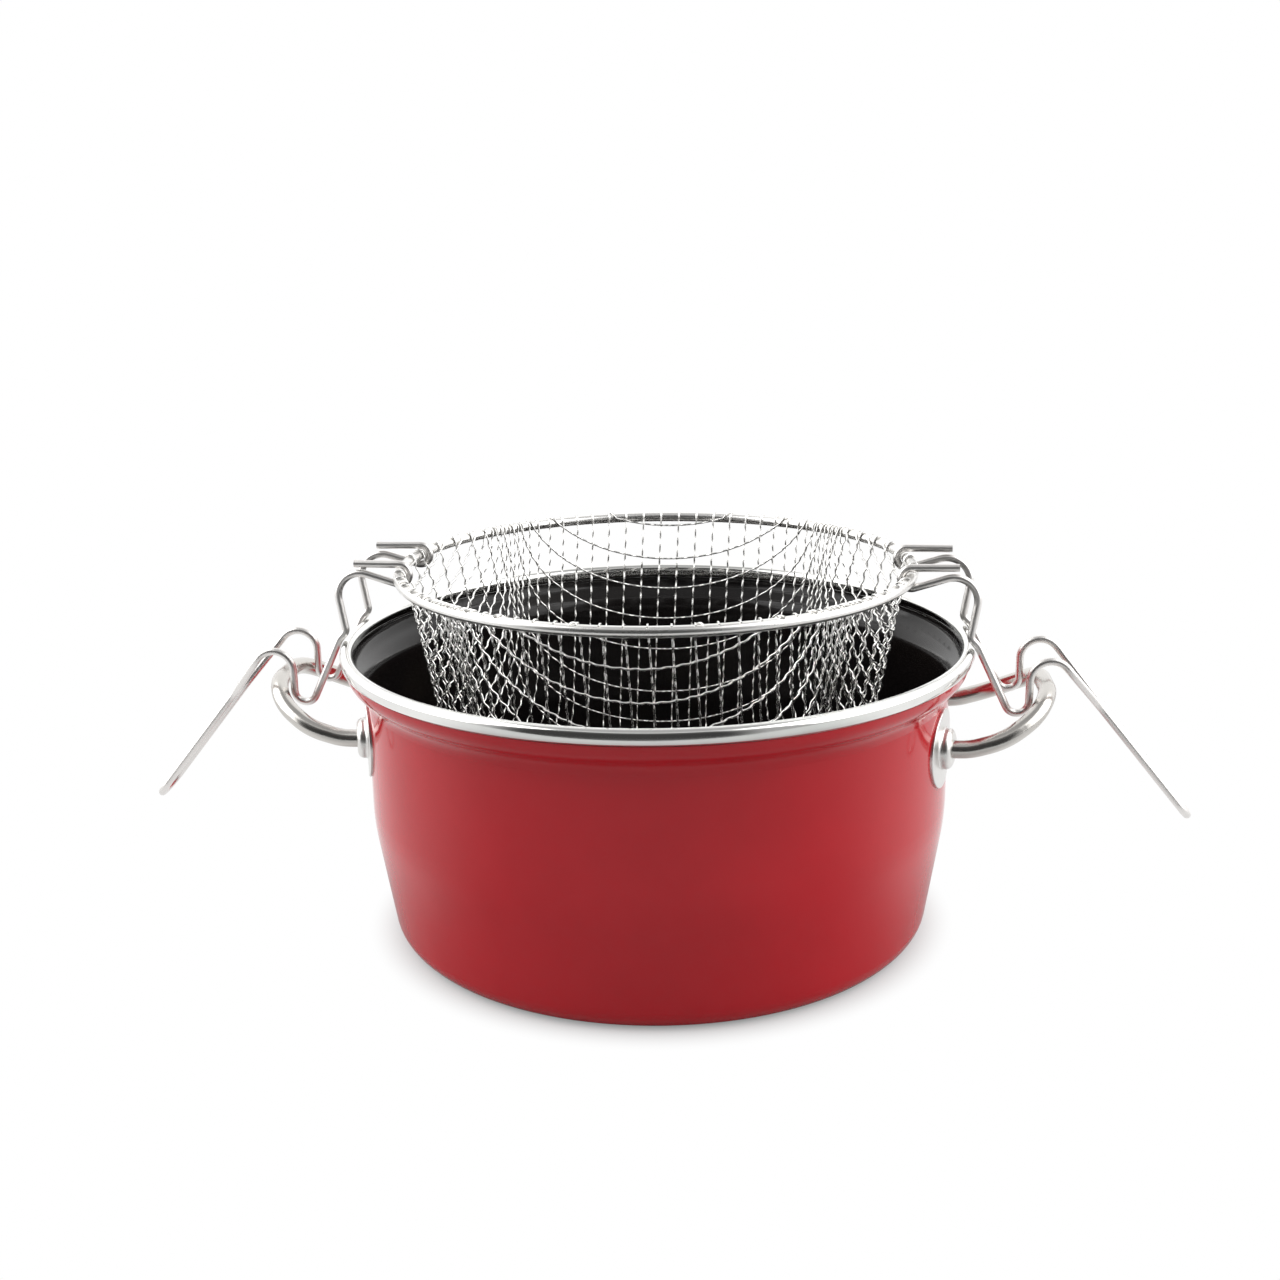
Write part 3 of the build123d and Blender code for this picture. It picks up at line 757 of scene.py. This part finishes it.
    def _place(self, run: np.ndarray, angle: np.ndarray, phase: np.ndarray) -> WirePath:
        """Put a wire in space, with its ends over the ring.

        Args:
            run: runs of its points, the first and last at the ring.
            angle: their angles.
            phase: their phases.

        Returns:
            The wire's path.
        """
        cup = self.cup
        wall = (run - cup.corner_run) / (cup.ring_run - cup.corner_run)
        angle = angle + self.bottom_turn + self.wall_twist * np.clip(wall, 0, 1)
        angle = self._make_room(run, angle)
        reach, level, out, up = cup.place(run)
        rise = np.clip((run - cup.ring_run) / self.lean_zone + 1, 0, 1)
        lean = (cup.ring_gap - self._curl_radius()) * rise ** 2 * (3 - 2 * rise)
        reach, level = reach + lean * up, level - lean * out
        hold = np.clip((cup.ring_run - run) / self.straight_zone, 0, 1)
        outward = np.stack([up * np.cos(angle), up * np.sin(angle), -out], -1)
        points = np.stack([reach * np.cos(angle), reach * np.sin(angle), level], -1)
        ends = []
        for end, inner in ((0, 2), (-1, -3)):
            way = max(abs(run[end] - run[inner]), self.least_drift_run)
            drift = np.clip((angle[end] - angle[inner]) / way, -self.most_drift, self.most_drift)
            ends.append(self._curl(angle[end], float(drift)))
        points = np.concatenate([ends[0][::-1], points, ends[1]])
        pad = self.curl_steps
        return WirePath(points, np.pad(phase, pad), np.pad(outward, ((pad, pad), (0, 0))),
                        np.pad(hold, pad))

    def _curl_radius(self) -> float:
        """Radius of the wire's bend round the ring's own wire."""
        return self.cup.ring_wire + self.wire_radius + self.cup.clearance

    def _curl(self, angle: float, drift: float) -> np.ndarray:
        """Points of a wire's end round the ring, from the wall up and outwards.

        Args:
            angle: where round the basket the wire meets the ring.
            drift: how fast its angle changes with its run.

        Returns:
            The curl's points.
        """
        radius = self._curl_radius()
        turned = np.linspace(0, self.curl_turn, self.curl_steps + 1)[1:]
        bend = math.pi - self.cup.slope - turned
        reach = self.cup.ring_radius + radius * np.cos(bend)
        level = self.cup.ring_level + radius * np.sin(bend)
        angles = angle + drift * radius * turned * self.curl_drift
        return np.stack([reach * np.cos(angles), reach * np.sin(angles), level], -1)

    def _make_room(self, run: np.ndarray, angle: np.ndarray) -> np.ndarray:
        """Push wires aside near the ring where the handles' hooks pass through the mesh.

        Args:
            run: runs of the points.
            angle: their angles.

        Returns:
            The changed angles.
        """
        reach = self.cup.place(run)[0]
        side = reach * np.sin(angle)
        rise = np.clip(1 - (self.cup.ring_run - run) / self.hook_zone, 0, 1)
        weight = rise ** 2 * (3 - 2 * rise)
        for place in (-self.hook_place, self.hook_place):
            off = side - place
            share = np.clip(1 - np.abs(off) / self.hook_reach, 0, 1)
            moved = np.where(off < 0, -1, 1) * self.hook_room * share * weight
            angle = angle + moved / np.where(np.cos(angle) < 0, -reach, reach)
        return angle

    def _wires(self, name: str, paths: list[WirePath], nodes: WireNodes,
               material: bpy.types.Material) -> bpy.types.Object:
        """Turn paths into one mesh of round wires.

        Args:
            name: the piece's name.
            paths: the wires.
            nodes: the tree that gives them crimps and section.
            material: their finish.

        Returns:
            The finished piece.
        """
        lines = bpy.data.meshes.new(name + "_lines")
        starts = np.cumsum([0] + [len(p.points) for p in paths])
        edges = np.concatenate([np.stack([np.arange(a, b - 1), np.arange(a + 1, b)], -1)
                                for a, b in zip(starts[:-1], starts[1:])])
        lines.from_pydata(np.concatenate([p.points for p in paths]).tolist(), edges.tolist(), [])
        for key, kind in (("phase", "FLOAT"), ("hold", "FLOAT"), ("outward", "FLOAT_VECTOR")):
            values = np.concatenate([getattr(p, key) for p in paths]).astype(np.float32)
            slot = lines.attributes.new(key, kind, "POINT")
            slot.data.foreach_set("vector" if kind == "FLOAT_VECTOR" else "value", values.ravel())
        source = bpy.data.objects.new(name + "_source", lines)
        bpy.context.scene.collection.objects.link(source)
        modifier = source.modifiers.new("wires", "NODES")
        modifier.node_group = nodes.tree
        keys = nodes.inputs()
        modifier[keys["Wire Radius"]] = self.wire_radius
        modifier[keys["Crimp Height"]] = self.wire_radius
        modifier[keys["Sides"]] = self.sides
        modifier[keys["Finish"]] = material
        depsgraph = bpy.context.evaluated_depsgraph_get()
        mesh = bpy.data.meshes.new_from_object(source.evaluated_get(depsgraph))
        mesh.name = name
        bpy.data.objects.remove(source)
        piece = bpy.data.objects.new(name, mesh)
        bpy.context.scene.collection.objects.link(piece)
        return piece


@dataclass
class Basket:
    """The basket: its ring and handles are CAD nodes, and its mesh is woven here."""

    body: str = "basket"
    slot: str = "plated_wire"

    def build(self) -> None:
        """Dress the CAD nodes and put the woven mesh in the place of the plain cup."""
        dress(["basket_ring"], RING_STEEL)
        dress(["left_basket_handle", "right_basket_handle"], HANDLE_STEEL)
        pieces = BasketMesh().build(WireNodes(), MESH_STEEL.material())
        for piece in pieces:
            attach(piece, self.body)
            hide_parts("basket_mesh", "mesh_wire_ends")
            LOG.info("%s: %d faces", piece.name, len(piece.data.polygons))


def toward(x: Term, y: Term, level: Term, way: tuple[float, float]) -> Term:
    """How far a direction points along a level way, from -1 to 1.

    Args:
        x: the direction's part along X.
        y: its part along Y.
        level: the length of both together.
        way: the level way, of unit length.

    Returns:
        The cosine between the two.
    """
    return (x * way[0] + y * way[1]) / level


@dataclass
class Surroundings:
    """The world, white to the camera and uneven in what metal and enamel mirror.

    It is bright at the sides, darker from the front and overhead, and has one dark patch behind
    the camera, which the rim band mirrors in the photograph. Fades are given as start and end.
    """

    side_level: float = 1.25
    front_drop: float = 0.80
    overhead_drop: float = 0.62
    patch_drop: float = 0.88
    front_fade: tuple[float, float] = (-0.10, 0.70)
    front_top_fade: tuple[float, float] = (0.45, 0.85)
    overhead_fade: tuple[float, float] = (0.80, 0.95)
    patch_way: tuple[float, float] = (-0.10, -0.995)
    patch_fade: tuple[float, float] = (0.64, 0.84)
    patch_bottom_fade: tuple[float, float] = (-0.55, -0.25)
    patch_top_fade: tuple[float, float] = (0.78, 0.90)
    least_level: float = 0.0001

    def build(self) -> None:
        """Make the world."""
        world = bpy.data.worlds.new("studio")
        bpy.context.scene.world = world
        world.use_nodes = True
        sh = Shader(world.node_tree)
        part = sh.node("ShaderNodeSeparateXYZ", None,
                       {0: sh.term("ShaderNodeTexCoord", "Generated")})
        x, y, z = (Term(sh, part.outputs[i]) for i in range(3))
        level = (x * x + y * y).root() + self.least_level
        ahead = toward(x, y, level, TO_CAMERA).step(*self.front_fade)
        front = ahead * (1.0 - z.step(*self.front_top_fade))
        overhead = z.step(*self.overhead_fade)
        tall = z.step(*self.patch_bottom_fade) * (1.0 - z.step(*self.patch_top_fade))
        patch = toward(x, y, level, self.patch_way).step(*self.patch_fade) * tall
        strength = ((self.side_level - front * self.front_drop)
                    * (1.0 - overhead * self.overhead_drop) * (1.0 - patch * self.patch_drop))
        seen = sh.term("ShaderNodeLightPath", "Is Camera Ray")
        lit = sh.node("ShaderNodeBackground", None, {0: WHITE, 1: strength})
        white = sh.node("ShaderNodeBackground", None, {0: WHITE, 1: 1.0})
        both = sh.node("ShaderNodeMixShader", None,
                       {0: seen, 1: Term(sh, lit.outputs[0]), 2: Term(sh, white.outputs[0])})
        sh.node("ShaderNodeOutputWorld", None, {0: Term(sh, both.outputs[0])})


@dataclass
class Floor:
    """A plain floor that keeps the pot's shadow and is white further out.

    It ends in front of the pot, so that the metal mirrors the world beyond it there.
    """

    half: float = 1.6
    front_edge: float = -0.42
    colour: tuple[float, float, float] = (0.50, 0.51, 0.51)
    shadow_fade: tuple[float, float] = (0.094, 0.122)
    mirrored_fade: tuple[float, float] = (0.11, 0.18)
    front_fade: tuple[float, float] = (0.20, 0.75)

    def build(self) -> None:
        """Lay the floor."""
        half, front = self.half, self.front_edge
        data = bpy.data.meshes.new("floor")
        data.from_pydata([(-half, front, 0), (half, front, 0), (half, half, 0), (-half, half, 0)],
                         [], [(0, 1, 2, 3)])
        data.materials.append(self._material())
        floor = bpy.data.objects.new("floor", data)
        bpy.context.scene.collection.objects.link(floor)

    def _material(self) -> bpy.types.Material:
        """Build the floor's material, a matt surface that turns into even white."""
        material, sh = blank_material("floor_white")
        lit = sh.node("ShaderNodeBsdfDiffuse", None, {"Color": (*self.colour, 1.0)})
        white = sh.node("ShaderNodeEmission", None, {"Strength": 1.0})
        part = sh.node("ShaderNodeSeparateXYZ", None,
                       {0: sh.term("ShaderNodeTexCoord", "Object")})
        x, y = (Term(sh, part.outputs[i]) for i in range(2))
        reach = (x * x + y * y).root()
        away = reach.step(*self.shadow_fade)
        front = toward(x, y, reach, TO_CAMERA).step(*self.front_fade)
        beside = reach.step(*self.mirrored_fade) * (1.0 - front)
        path = sh.node("ShaderNodeLightPath")
        camera, glossy, through = (Term(sh, path.outputs[name]) for name in (
            "Is Camera Ray", "Is Glossy Ray", "Is Transmission Ray"))
        surface = sh.node("ShaderNodeMixShader", None, {
            0: camera * away + (glossy + through) * beside,
            1: Term(sh, lit.outputs[0]),
            2: Term(sh, white.outputs[0]),
        })
        close_material(sh, surface)
        return material


@dataclass
class SideLamps:
    """Two soft lamps, one on each side, that look at the pot."""

    reach: float = 1.1
    forward: float = -0.1
    height: float = 0.75
    size: float = 1.5
    power: float = 13.0
    aim_height: float = 0.08

    def build(self) -> None:
        """Hang both lamps."""
        for name, side in (("left_lamp", -1), ("right_lamp", 1)):
            data = bpy.data.lights.new(name, "AREA")
            data.size = self.size
            data.energy = self.power
            lamp = bpy.data.objects.new(name, data)
            lamp.location = (side * self.reach, self.forward, self.height)
            aim = Vector((0.0, 0.0, self.aim_height)) - lamp.location
            lamp.rotation_euler = aim.to_track_quat("-Z", "Y").to_euler()
            bpy.context.scene.collection.objects.link(lamp)
            LOG.info("%s: %.1f W", name, self.power)


@dataclass
class PhotoCamera:
    """The camera at the photograph's place, read off the rim, the wall and the basket's ring."""

    focal_pixels: float = 1646.0
    image_pixels: float = 1280.0
    sensor: float = 36.0
    place: tuple[float, float, float] = (62.43 * MM, -636.98 * MM, 292.0 * MM)
    turn: float = math.radians(6.2)
    pitch: float = 0.2675
    roll: float = 0.0168

    def build(self) -> None:
        """Make the camera and look through it."""
        data = bpy.data.cameras.new("photo_camera")
        data.sensor_width = self.sensor
        data.lens = self.focal_pixels / self.image_pixels * self.sensor
        camera = bpy.data.objects.new("photo_camera", data)
        bpy.context.scene.collection.objects.link(camera)
        level = Vector((-math.sin(self.turn), math.cos(self.turn), 0.0))
        right = Vector((math.cos(self.turn), math.sin(self.turn), 0.0))
        ahead = level * math.cos(self.pitch) - Vector((0, 0, 1)) * math.sin(self.pitch)
        up = level * math.sin(self.pitch) + Vector((0, 0, 1)) * math.cos(self.pitch)
        c, s = math.cos(self.roll), math.sin(self.roll)
        columns = Matrix((right * c - up * s, right * s + up * c, -ahead)).transposed()
        camera.matrix_world = Matrix.Translation(self.place) @ columns.to_4x4()
        bpy.context.scene.camera = camera


def main() -> None:
    """Build the scene in order."""
    logging.basicConfig(level=logging.INFO, format="%(name)s: %(message)s")
    PhotoCamera().build()
    Pot().dress()
    RimBand().build()
    Basket().build()
    Floor().build()
    Surroundings().build()
    SideLamps().build()
    bpy.context.scene.view_settings.view_transform = "Standard"


if __name__ == "__main__":
    main()
